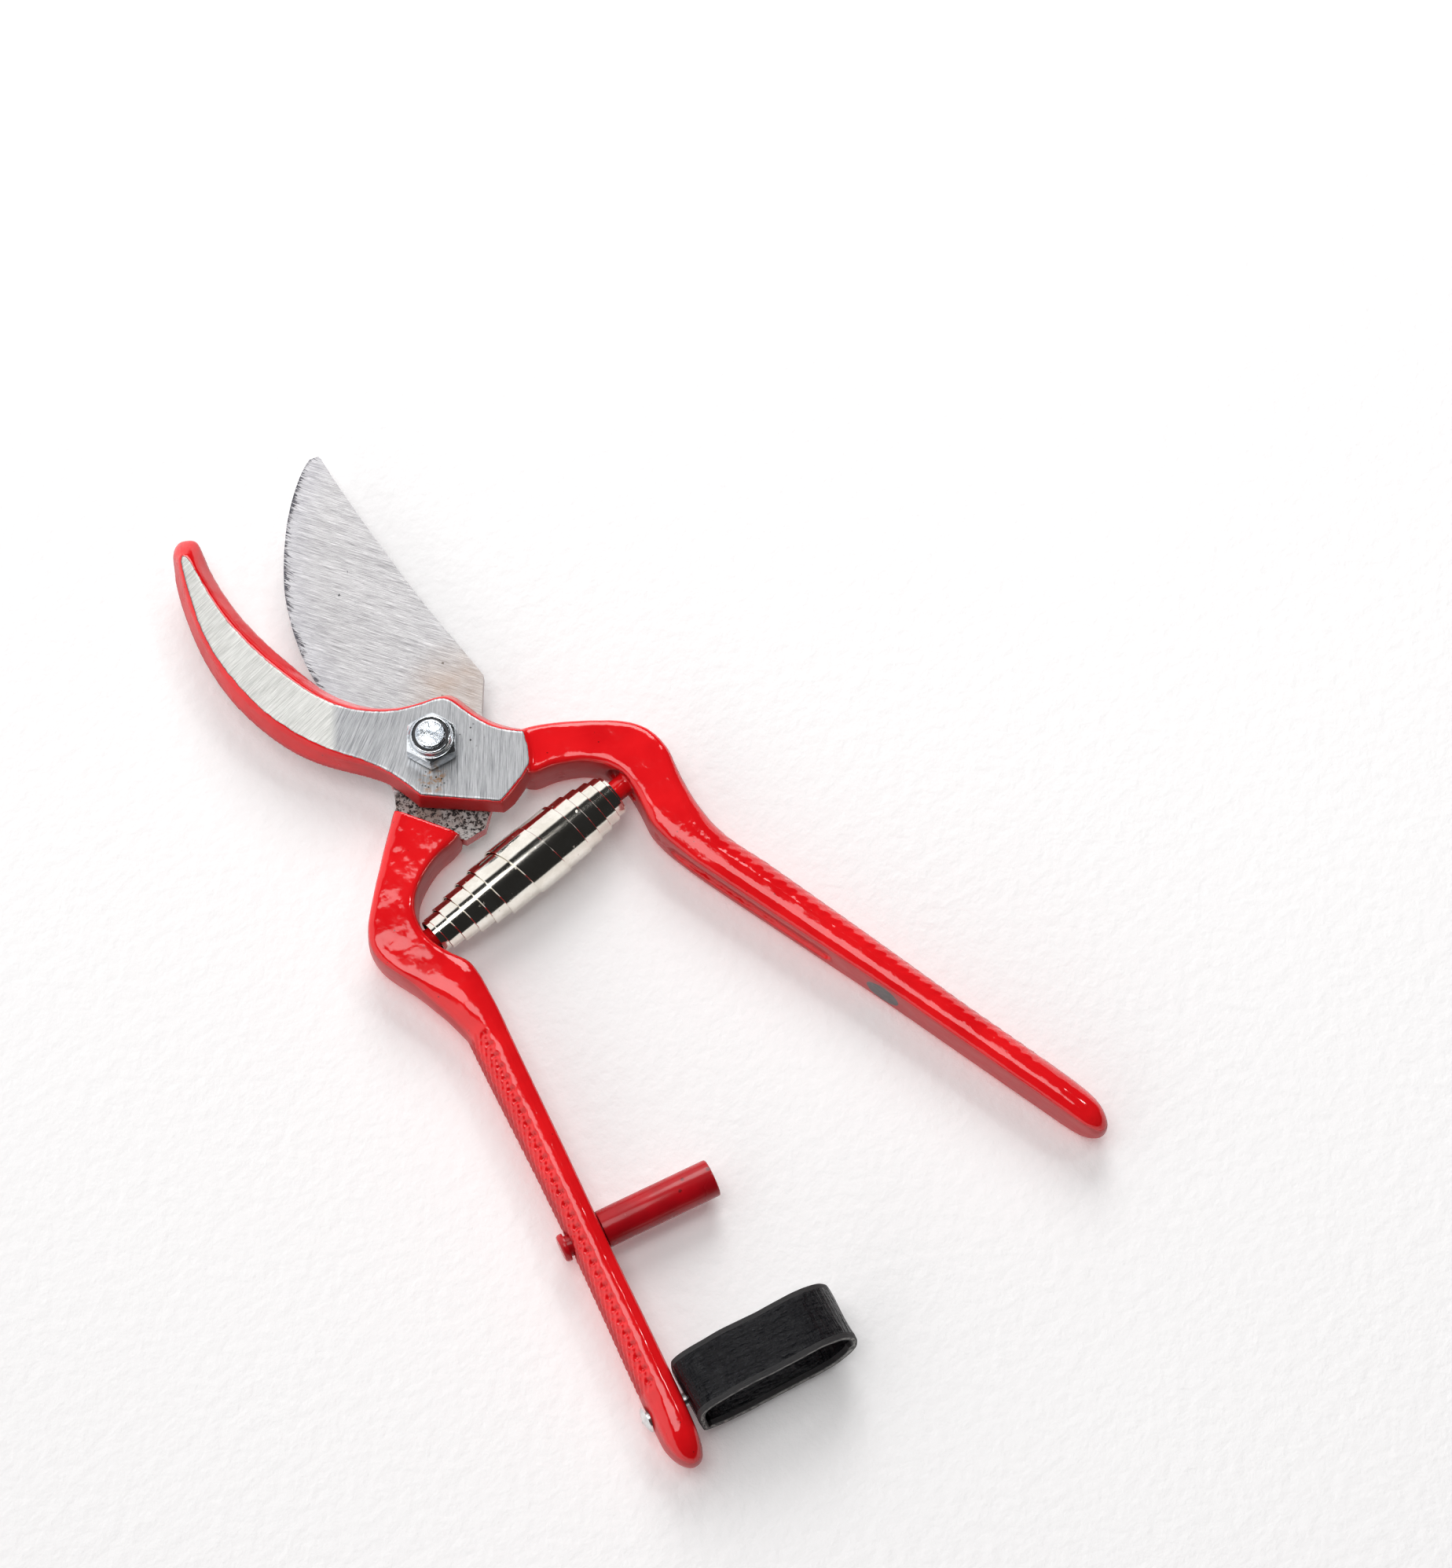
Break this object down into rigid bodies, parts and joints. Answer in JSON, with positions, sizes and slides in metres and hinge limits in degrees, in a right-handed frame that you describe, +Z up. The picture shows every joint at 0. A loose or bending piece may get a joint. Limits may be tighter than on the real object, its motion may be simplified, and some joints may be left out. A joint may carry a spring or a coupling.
{
  "type": "bypass pruning shears",
  "caption": "Bypass pruning shears with a curved hook, a convex blade, a double-cone spring, a stop pin and a leather closing strap.",
  "frame": {"origin": "on the pivot axis, in the flat underside of the pivot bolt's head, which is the plane that the shears lie on", "axes": "+Y from the handles to the tips, +Z up along the pivot axis towards the lock nut, +X towards the hook arm's handle"},
  "size_m": [0.0899, 0.1798, 0.016],
  "materials": {
    "red_enamel": "glossy red enamel over a forged steel arm, ground bare on the hook, the pivot plate and the blade",
    "crimson_enamel": "satin crimson enamel on a turned pin",
    "zinc_plate": "bright zinc plate",
    "nickel_plate": "mirror-bright nickel plate on wound spring strip",
    "dark_nylon": "dark nylon",
    "black_leather": "black coated leather with a raw cut edge",
    "rivet_steel": "dull silver rivet"
  },
  "bodies": {
    "hook_side": {"hook_arm": "red_enamel", "pivot_bolt": "zinc_plate", "lock_nut": "zinc_plate", "lock_nut_insert": "dark_nylon"},
    "blade_side": {"blade_arm": "red_enamel", "stop_pin": "crimson_enamel", "strap_tab": "black_leather", "strap_rivet": "rivet_steel"},
    "spring_body": {"volute_spring": "nickel_plate"},
    "strap_body": {"strap_loop": "black_leather"}
  },
  "joints": [
    {"name": "blade_pivot", "type": "hinge", "parent": "hook_side", "child": "blade_side", "pos_m": [0, 0, 0.0064], "axis": [0, 0, 1], "range_deg": [0, 27.7], "stiffness_Nm_per_rad": 2, "deforming": ["volute_spring"]},
    {"name": "spring_tilt", "type": "hinge", "parent": "hook_side", "child": "spring_body", "pos_m": [0.02234, -0.02388, 0.00575], "axis": [0, 0, 1], "range_deg": [0, 13.85]},
    {"name": "strap_swing", "type": "hinge", "parent": "blade_side", "child": "strap_body", "pos_m": [-0.02535, -0.11284, 0.00725], "axis": [-0.1822, -0.9833, 0], "range_deg": [0, 55.4]}
  ],
  "couplings": [
    {"joint": "spring_tilt", "follows": "blade_pivot", "ratio": 0.5},
    {"joint": "strap_swing", "follows": "blade_pivot", "ratio": 2}
  ]
}
